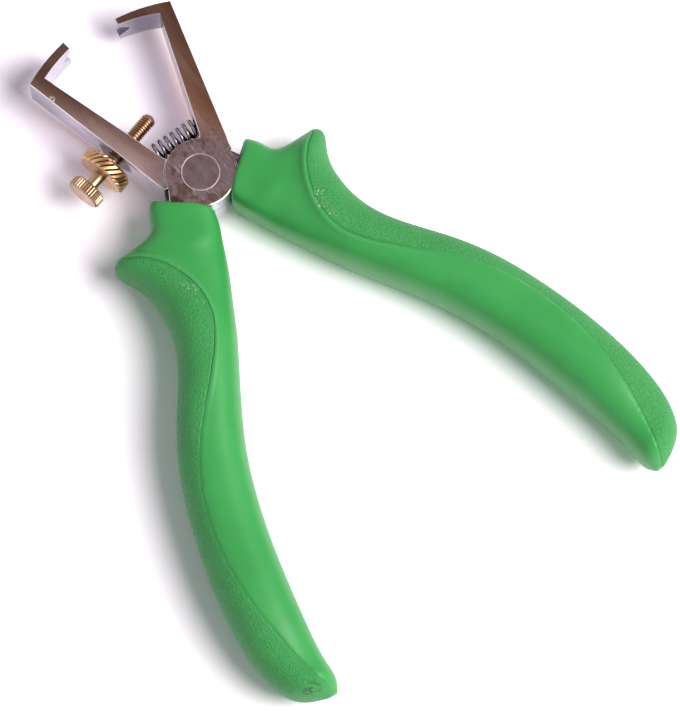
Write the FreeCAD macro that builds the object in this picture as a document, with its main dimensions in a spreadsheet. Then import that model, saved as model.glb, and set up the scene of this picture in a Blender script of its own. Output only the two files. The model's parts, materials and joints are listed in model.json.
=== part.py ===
"""End wire stripper: two lapped steel halves on a rivet, sprung open, with moulded grips.

Millimetres and degrees. The pivot axis is Z, with the origin on the underside of the joint,
the jaws along +Y and the tool lying flat and fully open. The upper half has the right jaw and
the left handle, and the lower half has the left jaw and the right handle.
"""
import FreeCAD, Part
import math
import os
import re
import Sketcher

doc = FreeCAD.newDocument("wire_stripper")
sheet = doc.addObject("Spreadsheet::Sheet", "Sizes")

sizes = {
    # The lap joint and its rivet
    "steel_thickness": 10.0,
    "joint_radius": 8.0,
    "lap_gap": 0.1,
    "lap_clearance": 0.15,
    "rivet_head_radius": 4.25,
    "rivet_head_depth": 1.6,
    "rivet_shank_radius": 3.0,
    "rivet_clearance": 0.05,
    # The jaw arms, from the shoulder beside the joint to the corner of the hook
    "shoulder_reach": 9.0,
    "shoulder_rise": 1.2,
    "crotch_reach": 4.9,
    "crotch_rise": 7.6,
    "upper_jaw_lean": 13.5,
    "lower_jaw_lean": 15.3,
    "arm_tip_width": 3.2,
    # The hooked blades, which are rings about the pivot so that they pass each other
    "blade_radius": 40.9,
    "blade_clearance": 0.5,
    "upper_tip_thickness": 1.4,
    "lower_tip_thickness": 2.0,
    "upper_blade_ease": 3.9,
    "lower_blade_ease": 0.4,
    "upper_tip_angle": 7.1,
    "lower_tip_angle": 10.1,
    "notch_depth": 2.2,
    "notch_bevel": 0.7,
    "notch_margin": 0.3,
    # The opening spring and its seats in the arms
    "spring_rise": 10.7,
    "spring_half_span": 7.6,
    "spring_radius": 1.95,
    "spring_wire": 0.7,
    "spring_turns": 8.75,
    "seat_clearance": 0.15,
    "spring_end_gap": 0.05,
    # The adjusting screw and its lock nut, square to the outside of the lower half's arm
    "screw_station": 14.4,
    "screw_radius": 1.75,
    "screw_clearance": 0.05,
    "screw_reach": 12.6,
    "screw_tip_round": 1.3,
    "nut_gap": 2.0,
    "nut_width": 3.3,
    "nut_radius": 6.0,
    "nut_chamfer": 0.5,
    "nut_cone_depth": 0.6,
    "nut_cone_reach": 0.6,
    "nut_teeth": 25,
    "nut_tooth_depth": 0.5,
    "nut_tooth_slant": 46.0,
    "thread_relief": 0.3,
    "screw_neck_radius": 1.4,
    "head_gap": 3.4,
    "head_width": 2.8,
    "head_radius": 4.1,
    "head_chamfer": 0.35,
    "head_teeth": 36,
    "head_tooth_depth": 0.3,
    # The steel inside the handles
    "stop_gap": 0.45,
    "handle_lean": 27.9,
    "handle_offset": 5.4,
    "handle_straight": 52.6,
    "handle_bend_radius": 148.0,
    "neck_offset": 3.5,
    "neck_width": 8.3,
    "neck_depth": 7.0,
    "tang_width": 4.4,
    "tang_thickness": 6.0,
    "tang_bend": 15.0,
    # The moulded grips: the mouth, then sections along the handle's spine
    "mouth_reach": 6.7,
    "mouth_lean": 41.0,
    "mouth_relief": 0.35,
    "lip_clearance": 0.3,
    "sleeve_clearance": 0.15,
    "palm_recess": 0.35,
    "recess_overrun": 12.0,
}

# Each section of the grip: how far along the spine it lies, how far it reaches outwards and
# inwards from the spine, half of its height, how much of the mouth's turn it takes, and how
# square its corners are
grip_measures = ("station", "outer", "inner", "height", "turn", "squareness")
grip_sections = {
    "mouth": (0.0, 6.7, 7.6, 6.9, 1.0, 4.0),
    "collar": (3.4, 7.4, 8.3, 7.0, 1.0, 3.8),
    "flare": (7.8, 9.3, 8.4, 7.7, 0.5, 3.2),
    "guard": (11.6, 16.1, 8.6, 8.9, 0.0, 2.6),
    "ledge": (15.4, 13.4, 9.0, 9.3, 0.0, 2.4),
    "saddle": (20.6, 8.7, 9.2, 9.3, 0.0, 2.4),
    "waist": (30.6, 5.4, 8.9, 9.2, 0.0, 2.4),
    "palm": (48.6, 7.2, 7.7, 9.3, 0.0, 2.4),
    "belly": (76.6, 8.0, 8.1, 9.4, 0.0, 2.4),
    "heel": (100.6, 7.2, 8.1, 8.9, 0.0, 2.4),
    "toe": (111.6, 4.9, 7.8, 7.3, 0.0, 2.4),
    "nose": (116.6, -0.6, 7.5, 4.7, 0.0, 2.4),
    "end": (118.3, -4.0, 6.7, 1.3, 0.0, 2.4),
}
for section, measures in grip_sections.items():
    for measure, number in zip(grip_measures, measures):
        sizes[f"{section}_{measure}"] = number

# The crest along which the palm's recess begins: how far along the spine and how far outwards
crest_points = {
    "crest_horn": (10.8, 19.0),
    "crest_brow": (12.6, 8.0),
    "crest_fold": (20.1, -1.2),
    "crest_waist": (30.6, -4.1),
    "crest_palm": (45.6, -0.5),
    "crest_belly": (66.6, 3.8),
    "crest_heel": (92.6, 1.3),
    "crest_toe": (119.1, -5.8),
}
for point, (station, offset) in crest_points.items():
    sizes[f"{point}_station"] = station
    sizes[f"{point}_offset"] = offset

for row, (name, number) in enumerate(sizes.items(), start=1):
    sheet.set(f"A{row}", name)
    sheet.set(f"B{row}", str(number))
    sheet.setAlias(f"B{row}", name)
doc.recompute()


def formula(text):
    """Give each alias in a formula the name of its sheet."""
    return re.sub(r"[a-z_]+", lambda word: f"Sizes.{word[0]}" if word[0] in sizes else word[0], text)


def value(text):
    """Work out a formula now."""
    return float(sheet.evalExpression(formula(text)))


def make(kind, label, **bound):
    """Add an object whose properties are tied to formulas."""
    item = doc.addObject(kind, label)
    item.Label = label
    for name, text in bound.items():
        item.setExpression(name, formula(text))
    return item


def place(item, x="0", y="0", z="0", yaw="0", pitch="0", roll="0"):
    """Tie an object's place and turn to formulas."""
    text = f"placement(vector({x}; {y}; {z}); rotation({yaw}; {pitch}; {roll}))"
    item.setExpression("Placement", formula(text))
    return item


def fuse(label, pieces):
    item = doc.addObject("Part::MultiFuse", label)
    item.Shapes = pieces
    item.Refine = True
    return item


def cut(label, base, tools):
    item = doc.addObject("Part::Cut", label)
    item.Label = label
    item.Base = base
    item.Tool = tools[0] if len(tools) == 1 else fuse(f"{label}_cuts", tools)
    item.Refine = True
    return item


def hold(sketch, point, x, y):
    """Hold the start of one line of a sketch at two formulas."""
    for kind, text in (("DistanceX", x), ("DistanceY", y)):
        row = sketch.addConstraint(Sketcher.Constraint(kind, -1, 1, point, 1, value(text)))
        sketch.setExpression(f"Constraints[{row}]", formula(text))


def outline(sketch, corners):
    """Draw a closed outline of straight sides, with each corner held at two formulas."""
    points = [FreeCAD.Vector(value(x), value(y), 0) for x, y in corners]
    for start, end in zip(points, points[1:] + points[:1]):
        sketch.addGeometry(Part.LineSegment(start, end))
    for side in range(len(points)):
        sketch.addConstraint(Sketcher.Constraint("Coincident", side, 2, (side + 1) % len(points), 1))
    for side, (x, y) in enumerate(corners):
        hold(sketch, side, x, y)


def plate(label, corners, thickness):
    """Extrude a straight-sided outline upwards from the underside."""
    sketch = doc.addObject("Sketcher::SketchObject", f"{label}_outline")
    outline(sketch, corners)
    item = make("Part::Extrusion", label, LengthFwd=thickness)
    item.Base = sketch
    item.DirMode = "Normal"
    item.Solid = True
    return item


def body_with_sketch(label, plane, offset="0"):
    """Start a body with one sketch on one of its own origin planes."""
    body = doc.addObject("PartDesign::Body", label)
    body.Label = label
    return body, sketch_on(body, f"{label}_profile", plane, offset)


def sketch_on(body, label, plane, offset="0"):
    sketch = body.newObject("Sketcher::SketchObject", label)
    support = next(item for item in body.Origin.OriginFeatures if item.Role == plane)
    sketch.AttachmentSupport = (support, [""])
    sketch.MapMode = "FlatFace"
    sketch.setExpression("AttachmentOffset.Base.z", formula(offset))
    return sketch


def turned(label, profile):
    """Turn a profile of radius and height pairs about the body's own Z axis."""
    body, sketch = body_with_sketch(label, "XZ_Plane")
    outline(sketch, profile)
    turning = body.newObject("PartDesign::Revolution", f"{label}_turning")
    turning.Profile = sketch
    turning.ReferenceAxis = (sketch, ["V_Axis"])
    turning.Angle = 360
    doc.recompute()
    return body


# The two steel halves

def edge_offset(lean):
    """Distance from the pivot to the line of an arm's outer edge."""
    return f"(shoulder_reach * cos({lean}) - shoulder_rise * sin({lean}))"


def edge_angle(lean, offset, radius):
    """Angle from +Y at which a line beside the arm's outer edge crosses a circle about the pivot."""
    return f"({lean} + asin({offset} / {radius}) / (1 deg))"


def handle_axes():
    """Heading and outward direction of the left handle where it leaves the joint."""
    lean = math.radians(value("handle_lean"))
    heading = FreeCAD.Vector(-math.sin(lean), -math.cos(lean), 0)
    outward = FreeCAD.Vector(-math.cos(lean), math.sin(lean), 0)
    return heading, outward


def handle_core(spare):
    """Neck and tang of the left handle, grown by a spare on every side."""
    heading, outward = handle_axes()
    thickness = value("steel_thickness")
    half_width = value("neck_width / 2") + spare
    depth = value("mouth_reach + neck_depth") + spare
    outer = outward * (value("neck_offset") + half_width)
    inner = outward * (value("neck_offset") - half_width)
    stop = outer + heading * ((value("shoulder_rise - stop_gap") - outer.y) / heading.y)
    corners = [
        FreeCAD.Vector(0, 0, 0),
        stop,
        outer + heading * depth,
        inner + heading * depth,
        inner + heading * value("joint_radius / 2"),
    ]
    outline_wire = Part.makePolygon(corners + corners[:1])
    neck = Part.Face(outline_wire).extrude(FreeCAD.Vector(0, 0, thickness + 2 * spare))
    neck.translate(FreeCAD.Vector(0, 0, -spare))

    start, centre = handle_spine()
    width = value("tang_width") + 2 * spare
    height = value("tang_thickness") + 2 * spare
    floor = FreeCAD.Vector(0, 0, value("steel_thickness / 2") - height / 2)
    straight = value("handle_straight")
    bar_corners = [
        start + outward * (width / 2),
        start + outward * (width / 2) + heading * straight,
        start - outward * (width / 2) + heading * straight,
        start - outward * (width / 2),
    ]
    bar_wire = Part.makePolygon(bar_corners + bar_corners[:1])
    bar = Part.Face(bar_wire).extrude(FreeCAD.Vector(0, 0, height))
    bar.translate(floor)

    bend_radius = value("handle_bend_radius")
    sweep = value("tang_bend") + math.degrees(spare / bend_radius)
    up = FreeCAD.Vector(0, 0, 1)
    bend = Part.makeCylinder(bend_radius + width / 2, height, FreeCAD.Vector(), up, sweep)
    bend = bend.cut(Part.makeCylinder(bend_radius - width / 2, height, FreeCAD.Vector(), up, 360))
    bend.rotate(FreeCAD.Vector(), up, math.degrees(math.atan2(outward.y, outward.x)))
    bend.translate(centre + floor)
    return neck.fuse([bar, bend]).removeSplitter()


def handle_spine():
    """Start and bend centre of the left handle's centre line."""
    heading, outward = handle_axes()
    start = heading * value("mouth_reach") + outward * value("handle_offset")
    centre = start + heading * value("handle_straight") - outward * value("handle_bend_radius")
    return start, centre


def hooked_blade(label, side, inner, outer, ease, corner, tip_angle):
    """A blade about the pivot from the arm's corner to its tip, hollowed a little off centre."""
    first = f"90 - {corner}" if side > 0 else f"90 + {tip_angle}"
    disc = make(
        "Part::Cylinder",
        f"{label}_rim",
        Radius=outer,
        Height="steel_thickness",
        Angle=f"{corner} - {tip_angle}",
    )
    place(disc, yaw=first)
    hollow_reach = f"({inner} * sin({tip_angle}) + {ease})"
    hollow_rise = f"({inner} * cos({tip_angle}))"
    hollow = make(
        "Part::Cylinder",
        f"{label}_hollow",
        Radius=f"sqrt({hollow_reach} * {hollow_reach} + {hollow_rise} * {hollow_rise})",
        Height="steel_thickness",
    )
    place(hollow, x=f"{-side} * {ease}")
    return cut(label, disc, [hollow])


def wire_notch(label, side, inner, outer, tip_angle, inner_growth, outer_growth):
    """A square bar on edge through the blade's tip, tapered so that one face of the notch is sharp."""
    inner_half = f"(notch_depth + {inner_growth}) / sqrt(2)"
    outer_half = f"(notch_depth + {outer_growth}) / sqrt(2)"
    notch = make(
        "Part::Wedge",
        label,
        Xmin=f"-{inner_half}",
        Xmax=inner_half,
        Zmin=f"-{inner_half}",
        Zmax=inner_half,
        Ymin="0",
        Ymax=f"{outer} - {inner} + 2 * notch_margin",
        X2min=f"-{outer_half}",
        X2max=outer_half,
        Z2min=f"-{outer_half}",
        Z2max=outer_half,
    )
    turn_to_tip = f"placement(vector(0; 0; steel_thickness / 2); rotation({-side} * {tip_angle}; 0; 0))"
    stand_on_edge = f"placement(vector(0; {inner} - notch_margin; 0); rotation(0; 45; 0))"
    notch.setExpression("Placement", formula(f"{turn_to_tip} * {stand_on_edge}"))
    return notch


def steel_half(
    label, side, lean, blade_inner, blade_outer, blade_ease, tip_angle, notch_growths, lap_floor, bores
):
    """Forge one half: joint disc, jaw arm, hooked blade and tang, less the lap and its bores."""
    edge = edge_offset(lean)
    outer_corner = edge_angle(lean, edge, blade_outer)
    inner_corner = edge_angle(lean, f"({edge} - arm_tip_width)", blade_inner)
    arm = plate(
        f"{label}_arm",
        [
            ("0", "0"),
            (f"{side} * shoulder_reach", "shoulder_rise"),
            (f"{side} * {blade_outer} * sin({outer_corner})", f"{blade_outer} * cos({outer_corner})"),
            (f"{side} * {blade_inner} * sin({inner_corner})", f"{blade_inner} * cos({inner_corner})"),
            (f"{side} * crotch_reach", "crotch_rise"),
        ],
        "steel_thickness",
    )
    hook = hooked_blade(f"{label}_blade", side, blade_inner, blade_outer, blade_ease, outer_corner, tip_angle)
    disc = make("Part::Cylinder", f"{label}_disc", Radius="joint_radius", Height="steel_thickness")

    core = handle_core(0)
    tang = doc.addObject("Part::Feature", f"{label}_tang")
    tang.Shape = core if side > 0 else core.mirror(FreeCAD.Vector(), FreeCAD.Vector(1, 0, 0))

    lap = make(
        "Part::Cylinder",
        f"{label}_lap",
        Radius="joint_radius + lap_clearance",
        Height="steel_thickness / 2 + lap_gap / 2",
    )
    place(lap, z=lap_floor)
    seat = make(
        "Part::Cylinder",
        f"{label}_spring_seat",
        Radius="spring_radius + spring_wire / 2 + seat_clearance",
        Height="spring_half_span",
    )
    place(seat, y="spring_rise", z="steel_thickness / 2", pitch=f"{side * 90}")
    notch = wire_notch(f"{label}_notch", side, blade_inner, blade_outer, tip_angle, *notch_growths)
    raw = fuse(f"{label}_forging", [disc, arm, hook, tang])
    return cut(label, raw, [lap, seat, notch] + bores)


def rivet_bore(label, shoulder, mouth):
    """A stepped bore for the rivet: its shank, then its head from a shoulder to the open face."""
    shank = make(
        "Part::Cylinder",
        f"{label}_shank_bore",
        Radius="rivet_shank_radius + rivet_clearance",
        Height="steel_thickness",
    )
    head = make(
        "Part::Cylinder",
        f"{label}_head_bore",
        Radius="rivet_head_radius + rivet_clearance",
        Height=f"({mouth}) - ({shoulder})",
    )
    place(head, z=shoulder)
    return [shank, head]


screw_place = {
    "x": "-(shoulder_reach + screw_station * sin(lower_jaw_lean))",
    "y": "shoulder_rise + screw_station * cos(lower_jaw_lean)",
    "z": "steel_thickness / 2",
    "yaw": "lower_jaw_lean",
    "pitch": "90",
}
screw_bore = make(
    "Part::Cylinder",
    "lower_half_screw_bore",
    Radius="screw_radius + screw_clearance",
    Height="screw_reach + nut_gap",
)
place(screw_bore, **screw_place)

upper_half = steel_half(
    "upper_half",
    side=1,
    lean="upper_jaw_lean",
    blade_inner="(blade_radius - upper_tip_thickness)",
    blade_outer="blade_radius",
    blade_ease="upper_blade_ease",
    tip_angle="upper_tip_angle",
    notch_growths=("notch_bevel", "0"),
    lap_floor="0",
    bores=rivet_bore("upper_half", "steel_thickness - rivet_head_depth - rivet_clearance", "steel_thickness"),
)
lower_half = steel_half(
    "lower_half",
    side=-1,
    lean="lower_jaw_lean",
    blade_inner="(blade_radius + blade_clearance)",
    blade_outer="(blade_radius + blade_clearance + lower_tip_thickness)",
    blade_ease="lower_blade_ease",
    tip_angle="lower_tip_angle",
    notch_growths=("0", "notch_bevel"),
    lap_floor="steel_thickness / 2 - lap_gap / 2",
    bores=rivet_bore("lower_half", "0", "rivet_head_depth") + [screw_bore],
)

# The pivot rivet, with a flush head on both faces
pivot_rivet = turned(
    "pivot_rivet",
    [
        ("0", "0"),
        ("rivet_head_radius", "0"),
        ("rivet_head_radius", "rivet_head_depth"),
        ("rivet_shank_radius", "rivet_head_depth"),
        ("rivet_shank_radius", "steel_thickness - rivet_head_depth"),
        ("rivet_head_radius", "steel_thickness - rivet_head_depth"),
        ("rivet_head_radius", "steel_thickness"),
        ("0", "steel_thickness"),
    ],
)

# The opening spring, wound left-handed from one seat to the other
spring_length = "(2 * (spring_half_span - spring_end_gap) - spring_wire)"
spring_line = make(
    "Part::Helix",
    "opening_spring_line",
    Radius="spring_radius",
    Height=spring_length,
    Pitch=f"{spring_length} / spring_turns",
)
spring_line.SegmentLength = 0
spring_line.LocalCoord = "Left-handed"
wire_end = make("Part::Circle", "opening_spring_wire", Radius="spring_wire / 2")
place(wire_end, x="spring_radius", roll="90")
opening_spring = make("Part::Sweep", "opening_spring")
opening_spring.Sections = [wire_end]
opening_spring.Spine = (spring_line, ["Edge1"])
opening_spring.Solid = True
opening_spring.Frenet = True
place(
    opening_spring,
    x=f"-{spring_length} / 2",
    y="spring_rise",
    z="steel_thickness / 2",
    pitch="90",
)

# The adjusting screw: a threaded shank with a domed tip, a relieved neck and a knurled head
nut_outer_face = "(nut_gap + nut_width)"
head_inner_face = f"({nut_outer_face} + head_gap)"
head_outer_face = f"({head_inner_face} + head_width)"
adjusting_screw = turned(
    "adjusting_screw",
    [
        ("0", f"-{head_outer_face}"),
        ("head_radius - head_chamfer", f"-{head_outer_face}"),
        ("head_radius", f"-{head_outer_face} + head_chamfer"),
        ("head_radius", f"-{head_inner_face} - head_chamfer"),
        ("head_radius - head_chamfer", f"-{head_inner_face}"),
        ("screw_neck_radius", f"-{head_inner_face}"),
        ("screw_neck_radius", f"-{nut_outer_face} - thread_relief"),
        ("screw_radius", f"-{nut_outer_face} - thread_relief + screw_radius - screw_neck_radius"),
        ("screw_radius", "screw_reach - screw_tip_round"),
        ("screw_radius - screw_tip_round / 3", "screw_reach - screw_tip_round / 3"),
        ("screw_radius - screw_tip_round", "screw_reach"),
        ("0", "screw_reach"),
    ],
)
groove_outline = sketch_on(adjusting_screw, "knurl_groove", "XY_Plane", f"-{head_outer_face}")
outline(
    groove_outline,
    [
        ("head_radius - head_tooth_depth", "0"),
        ("head_radius + head_tooth_depth", "-2 * head_tooth_depth"),
        ("head_radius + head_tooth_depth", "2 * head_tooth_depth"),
    ],
)
groove = adjusting_screw.newObject("PartDesign::Pocket", "knurl_pocket")
groove.Profile = groove_outline
groove.setExpression("Length", formula("head_width"))
groove.Reversed = True
doc.recompute()
knurl = adjusting_screw.newObject("PartDesign::PolarPattern", "head_knurl")
knurl.Originals = [groove]
knurl.Axis = (groove_outline, ["N_Axis"])
knurl.Angle = 360
knurl.setExpression("Occurrences", formula("head_teeth"))
adjusting_screw.Tip = knurl
place(adjusting_screw, **screw_place)

# The lock nut: a slant-knurled wheel with chamfered faces


def star(height, turn):
    """Outline of the lock nut's knurl at one height, with a pointed ridge for each tooth."""
    sides = 2 * round(value("nut_teeth"))
    points = []
    for side in range(sides):
        angle = 2 * math.pi * side / sides + turn
        reach = value("nut_radius") - value("nut_tooth_depth") * (side % 2)
        points.append(FreeCAD.Vector(reach * math.cos(angle), reach * math.sin(angle), height))
    return Part.makePolygon(points + points[:1])


nut_width = value("nut_width")
nut_radius = value("nut_radius")
nut_outside = -value(nut_outer_face)
nut_inside = nut_outside + nut_width
slant = math.tan(math.radians(value("nut_tooth_slant"))) * nut_width / nut_radius
knurl_outlines = [star(nut_outside + nut_width * share, slant * share) for share in (0, 0.5, 1)]
wheel = Part.makeLoft(knurl_outlines, True, True)
chamfer = value("nut_chamfer")
thread_bore = value("screw_radius + screw_clearance")
blank_profile = Part.makePolygon(
    [
        FreeCAD.Vector(thread_bore, 0, nut_outside),
        FreeCAD.Vector(nut_radius - chamfer, 0, nut_outside),
        FreeCAD.Vector(nut_radius, 0, nut_outside + chamfer),
        FreeCAD.Vector(nut_radius, 0, nut_inside - value("nut_cone_depth")),
        FreeCAD.Vector(nut_radius - value("nut_cone_reach"), 0, nut_inside),
        FreeCAD.Vector(thread_bore, 0, nut_inside),
        FreeCAD.Vector(thread_bore, 0, nut_outside),
    ]
)
blank = Part.Face(blank_profile).revolve(FreeCAD.Vector(), FreeCAD.Vector(0, 0, 1), 360)
lock_nut = doc.addObject("Part::Feature", "lock_nut")
lock_nut.Shape = blank.common(wheel)
place(lock_nut, **screw_place)

# The moulded grips: a loft of rounded sections along the handle


def spine_frame(station):
    """Centre and outward normal of the left handle's centre line at a distance along it."""
    heading, outward = handle_axes()
    start, centre = handle_spine()
    past = station - value("handle_straight")
    if past <= 0:
        return start + heading * station, outward
    turn = FreeCAD.Rotation(FreeCAD.Vector(0, 0, 1), math.degrees(past / value("handle_bend_radius")))
    normal = turn.multVec(outward)
    return centre + normal * value("handle_bend_radius"), normal


def grip_curve(measure):
    """Smooth curve of one of the grip's measures against the distance along the spine."""
    stations = [value(f"{section}_station") for section in grip_sections]
    numbers = [value(f"{section}_{measure}") for section in grip_sections]
    points = [FreeCAD.Vector(station, number, 0) for station, number in zip(stations, numbers)]
    curve = Part.BSplineCurve()
    curve.interpolate(Points=points, Parameters=stations)
    return curve


def grip_section(curves, station, inset):
    """Rounded outline of the left grip at a distance along the spine, drawn in by an inset."""
    outer, inner, height, turn, squareness = [curve.value(station).y for curve in curves]
    middle, normal = spine_frame(station)
    skew = turn * value("handle_lean - mouth_lean")
    normal = FreeCAD.Rotation(FreeCAD.Vector(0, 0, 1), skew).multVec(normal)
    middle = middle + normal * ((outer - inner) / 2) + FreeCAD.Vector(0, 0, value("steel_thickness / 2"))
    half_width = (outer + inner) / 2 - inset
    half_height = height - inset
    power = 2 / squareness
    points = []
    steps = 16
    for step in range(steps):
        angle = 2 * math.pi * step / steps
        across = math.copysign(abs(math.cos(angle)) ** power, math.cos(angle)) * half_width
        rise = math.copysign(abs(math.sin(angle)) ** power, math.sin(angle)) * half_height
        points.append(middle + normal * across + FreeCAD.Vector(0, 0, rise))
    curve = Part.BSplineCurve()
    curve.interpolate(points, PeriodicFlag=True)
    return Part.Wire(curve.toShape())


def grip_loft(inset):
    """The left grip without its hollow, drawn in by an inset, with sections crowded at both ends."""
    curves = [grip_curve(measure) for measure in grip_measures[1:]]
    length = value("end_station - mouth_station")
    steps = 32
    sections = []
    for step in range(steps + 1):
        station = value("mouth_station") + length * (1 - math.cos(math.pi * step / steps)) / 2
        sections.append(grip_section(curves, station, inset))
    return Part.makeLoft(sections, True, False)


def palm_side():
    """A tall block over the outer side of the left grip, bounded by the crest."""
    def on_plan(station, offset):
        middle, normal = spine_frame(station)
        return middle + normal * offset

    overrun = value("recess_overrun")
    crest = [on_plan(value(f"{point}_station"), value(f"{point}_offset")) for point in crest_points]
    curve = Part.BSplineCurve()
    curve.interpolate(crest)
    far_reach = value("crest_horn_offset") + overrun
    far_side = [
        crest[-1],
        on_plan(value("crest_toe_station") + overrun, 0),
        on_plan(value("crest_toe_station") + overrun, far_reach),
        on_plan(value("handle_straight"), far_reach),
        on_plan(value("crest_horn_station"), far_reach),
        crest[0],
    ]
    edges = [curve.toShape()] + Part.makePolygon(far_side).Edges
    height = value("2 * belly_height") + 2 * overrun
    block = Part.Face(Part.Wire(edges)).extrude(FreeCAD.Vector(0, 0, height))
    block.translate(FreeCAD.Vector(0, 0, value("steel_thickness / 2") - height / 2))
    return block


def joint_relief():
    """Room in the mouth for the joint's disc, which turns between the mouth's two lips."""
    room = Part.makeCylinder(
        value("joint_radius + lap_clearance + mouth_relief"), value("steel_thickness + 2 * lip_clearance")
    )
    room.translate(FreeCAD.Vector(0, 0, -value("lip_clearance")))
    return room


def left_sleeve():
    """The left grip, recessed on its palm side and hollowed for the steel."""
    recess = palm_side().cut(grip_loft(value("palm_recess")))
    hollow = handle_core(value("sleeve_clearance")).fuse(joint_relief())
    return grip_loft(0).cut(recess).cut(hollow)


left_grip = doc.addObject("Part::Feature", "left_grip")
left_grip.Shape = left_sleeve()
right_grip = doc.addObject("Part::Mirroring", "right_grip")
right_grip.Source = left_grip
right_grip.Normal = FreeCAD.Vector(1, 0, 0)

doc.recompute()

pieces = [
    lower_half,
    upper_half,
    pivot_rivet,
    opening_spring,
    adjusting_screw,
    lock_nut,
    left_grip,
    right_grip,
]
for item in doc.Objects:
    if {"Invalid", "Error"} & set(item.State):
        raise RuntimeError(f"{item.Label} did not build: {item.State}")
for piece in pieces:
    if piece.Shape.isNull() or not piece.Shape.isValid():
        raise RuntimeError(f"{piece.Label} has no valid shape")

os.makedirs("parts", exist_ok=True)
for piece in pieces:
    piece.Shape.exportStep(f"parts/{piece.Label}.step")
    print(piece.Label, len(piece.Shape.Solids), round(piece.Shape.Volume, 2))
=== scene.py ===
import json
import math

import bmesh
import bpy
import numpy
from mathutils import Matrix, Vector


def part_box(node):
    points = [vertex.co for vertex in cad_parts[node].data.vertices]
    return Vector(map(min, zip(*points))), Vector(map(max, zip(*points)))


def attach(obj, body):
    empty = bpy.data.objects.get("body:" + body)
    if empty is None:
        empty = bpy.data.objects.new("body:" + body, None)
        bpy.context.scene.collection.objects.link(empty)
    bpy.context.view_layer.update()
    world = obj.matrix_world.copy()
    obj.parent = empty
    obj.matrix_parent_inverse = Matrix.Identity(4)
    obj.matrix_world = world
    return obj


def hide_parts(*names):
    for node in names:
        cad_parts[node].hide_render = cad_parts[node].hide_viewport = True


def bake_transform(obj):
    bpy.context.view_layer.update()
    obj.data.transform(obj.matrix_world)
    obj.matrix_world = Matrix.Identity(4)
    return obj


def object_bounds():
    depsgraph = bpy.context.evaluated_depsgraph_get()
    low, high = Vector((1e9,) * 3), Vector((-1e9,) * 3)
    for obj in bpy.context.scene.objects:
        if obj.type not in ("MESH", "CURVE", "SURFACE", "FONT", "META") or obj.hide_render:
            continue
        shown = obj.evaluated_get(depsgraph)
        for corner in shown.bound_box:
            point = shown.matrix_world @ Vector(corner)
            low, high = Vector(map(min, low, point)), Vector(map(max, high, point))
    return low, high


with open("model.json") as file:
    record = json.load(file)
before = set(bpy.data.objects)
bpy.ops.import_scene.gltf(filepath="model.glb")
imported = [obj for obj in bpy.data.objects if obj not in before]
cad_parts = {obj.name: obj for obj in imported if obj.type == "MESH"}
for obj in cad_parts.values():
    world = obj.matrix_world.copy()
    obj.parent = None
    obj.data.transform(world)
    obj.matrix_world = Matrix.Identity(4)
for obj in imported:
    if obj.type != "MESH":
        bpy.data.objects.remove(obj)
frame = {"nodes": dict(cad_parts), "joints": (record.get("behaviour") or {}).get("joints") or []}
cad_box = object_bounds()


# The two levers: forged steel halves, ground flat, hardened and belt-polished, lapped on each other
# at the joint and drawn out into thin hooked blades. Their edges are broken with a fine chamfer,
# which is finer round the rivet and the spring's seats, and the blades are left sharp.
mm = 0.001
crease = math.radians(28)
merge_reach = 0.001 * mm
flatness = math.radians(0.3)
joint_cuts = (20, 65, 110, 155)
steel_thickness = 10 * mm
half_thickness = steel_thickness / 2
joint_radius = 8 * mm
bore_reach = 4.6 * mm
blade_start = 36.5 * mm
grip_mouth_level = -9 * mm
touch_reach, rim_reach, lap_reach = 0.01 * mm, 0.3 * mm, 0.2 * mm
edge_break = 0.35 * mm
arm_break, ring_break, fine_break = 0.6, 0.28, 0.25
ring_break_end, full_break_start = -2.5 * mm, -7.3 * mm


class Shade:
    """A socket among a finish's nodes that takes part in sums and sets further nodes beside it."""

    def __init__(self, tree, socket=None):
        self.tree = tree
        self.socket = socket

    def feed(self, node, sockets):
        for name, value in sockets.items():
            if isinstance(value, Shade):
                self.tree.links.new(value.socket, node.inputs[name])
            else:
                node.inputs[name].default_value = value

    def node(self, kind, sockets, output=0, **settings):
        made = self.tree.nodes.new("ShaderNode" + kind)
        for name, setting in settings.items():
            setattr(made, name, setting)
        self.feed(made, sockets)
        return Shade(self.tree, made.outputs[output])

    def math(self, operation, *values):
        return self.node("Math", dict(enumerate(values)), operation=operation)

    def __add__(self, other):
        return self.math("ADD", self, other)

    def __radd__(self, other):
        return self.math("ADD", other, self)

    def __sub__(self, other):
        return self.math("SUBTRACT", self, other)

    def __rsub__(self, other):
        return self.math("SUBTRACT", other, self)

    def __mul__(self, other):
        return self.math("MULTIPLY", self, other)

    def __rmul__(self, other):
        return self.math("MULTIPLY", other, self)

    def __abs__(self):
        return self.math("ABSOLUTE", self)


def new_finish(name):
    finish = bpy.data.materials.new(name)
    finish.use_nodes = True
    return finish, Shade(finish.node_tree)


def lay_on(finish, shade, **sockets):
    """Feeds the finish's own shader, whose sockets are named here with underscores for spaces."""
    shader = finish.node_tree.nodes["Principled BSDF"]
    shade.feed(shader, {name.replace("_", " "): value for name, value in sockets.items()})


def rise(value, low, high):
    """0 below low, 1 above high and smooth between them."""
    limits = {"Value": value, "From Min": low, "From Max": high}
    return value.node("MapRange", limits, interpolation_type="SMOOTHSTEP")


def tint(factor, first, second):
    """Mixes two colours, which are sockets 6 and 7 of a Mix node, with its result at output 2."""
    return factor.node("Mix", {0: factor, 6: first, 7: second}, output=2, data_type="RGBA")


def noise(place, scale, detail=3.0, stretch=(1, 1, 1), turn=0.0):
    """Cloudy noise with features about 1 / scale metres long, stretched along the turned axes."""
    spread = place.node("Mapping", {"Vector": place, "Rotation": (0, 0, turn), "Scale": stretch})
    return place.node("TexNoise", {"Vector": spread, "Scale": scale, "Detail": detail})


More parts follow.
